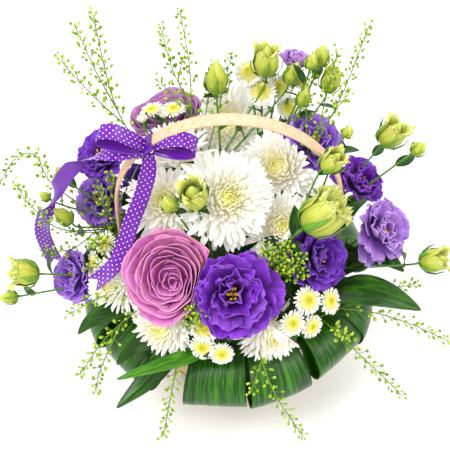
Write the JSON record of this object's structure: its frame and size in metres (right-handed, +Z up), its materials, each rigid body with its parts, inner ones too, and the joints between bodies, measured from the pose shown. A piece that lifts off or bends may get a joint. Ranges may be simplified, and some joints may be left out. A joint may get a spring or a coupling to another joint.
{
  "type": "flower basket arrangement",
  "caption": "Round woven chip basket with a bent-wood hoop handle, filled with chrysanthemums, roses, lisianthus, daisies, pod sprays and folded leaves, with a dotted satin ribbon.",
  "frame": {"origin": "middle of the basket's base, on the table", "axes": "+Z up, the hoop handle stands in the XZ plane, the front of the arrangement faces -Y"},
  "size_m": [0.4425, 0.3576, 0.4145],
  "materials": {
    "white_petals": "soft matt white petals, creamy yellow towards the heart",
    "pink_rose_petals": "velvety lilac-pink petals",
    "mauve_rose_petals": "velvety mauve petals",
    "violet_petals": "soft violet petals with fine veins",
    "purple_petals": "soft dark purple petals",
    "lilac_petals": "soft lilac petals",
    "bud_green": "waxy yellow-green buds",
    "pod_green": "thin green stems and flat green seed pods",
    "leaf_deep_green": "deep green glossy leaf with fine ribs",
    "leaf_pale_green": "mid green matt leaf",
    "bent_wood": "pale planed wood, unvarnished",
    "chip_weave": "dry woven chip splints",
    "liner_film": "thin whitish translucent film",
    "wet_foam": "dark green open-cell flower foam",
    "satin": "violet satin with small white dots"
  },
  "bodies": {
    "root": {"basket_liner": "liner_film", "bud_stem_front_left": "bud_green", "bud_stem_front_right": "bud_green", "bud_stem_top": "bud_green", "daisies_back": "white_petals", "daisies_front": "white_petals", "daisies_left": "white_petals", "daisies_right": "white_petals", "daisies_top": "white_petals", "daisies_upper_left": "white_petals", "floral_foam": "wet_foam", "folded_leaf_1": "leaf_deep_green", "folded_leaf_10": "leaf_deep_green", "folded_leaf_11": "leaf_deep_green", "folded_leaf_2": "leaf_deep_green", "folded_leaf_3": "leaf_deep_green", "folded_leaf_4": "leaf_deep_green", "folded_leaf_5": "leaf_deep_green", "folded_leaf_6": "leaf_deep_green", "folded_leaf_7": "leaf_deep_green", "folded_leaf_8": "leaf_deep_green", "folded_leaf_9": "leaf_deep_green", "hoop_handle": "bent_wood", "lisianthus_back": "purple_petals", "lisianthus_far_left": "violet_petals", "lisianthus_far_right": "lilac_petals", "lisianthus_front": "violet_petals", "lisianthus_left": "violet_petals", "lisianthus_right": "purple_petals", "lisianthus_right_front": "purple_petals", "lisianthus_top": "lilac_petals", "lisianthus_upper_left": "purple_petals", "lisianthus_upper_right": "violet_petals", "mauve_rose_back": "mauve_rose_petals", "pale_leaf_front": "leaf_pale_green", "pink_rose": "pink_rose_petals", "pod_cluster_front_right": "pod_green", "pod_spray_front": "pod_green", "pod_spray_front_left": "pod_green", "pod_spray_left": "pod_green", "pod_spray_low_left": "pod_green", "pod_spray_right": "pod_green", "pod_spray_top": "pod_green", "pod_spray_upper_left": "pod_green", "pod_spray_upper_right": "pod_green", "pointed_leaves_back": "leaf_deep_green", "pointed_leaves_left": "leaf_deep_green", "pointed_leaves_right": "leaf_deep_green", "satin_ribbon": "satin", "white_chrysanthemum_back": "white_petals", "white_chrysanthemum_behind_bow": "white_petals", "white_chrysanthemum_front": "white_petals", "white_chrysanthemum_left": "white_petals", "white_chrysanthemum_low_left": "white_petals", "white_chrysanthemum_low_right": "white_petals", "white_chrysanthemum_middle": "white_petals", "white_chrysanthemum_right": "white_petals", "white_chrysanthemum_under_hoop": "white_petals", "white_chrysanthemum_under_rose": "white_petals", "woven_basket": "chip_weave"}
  },
  "joints": []
}
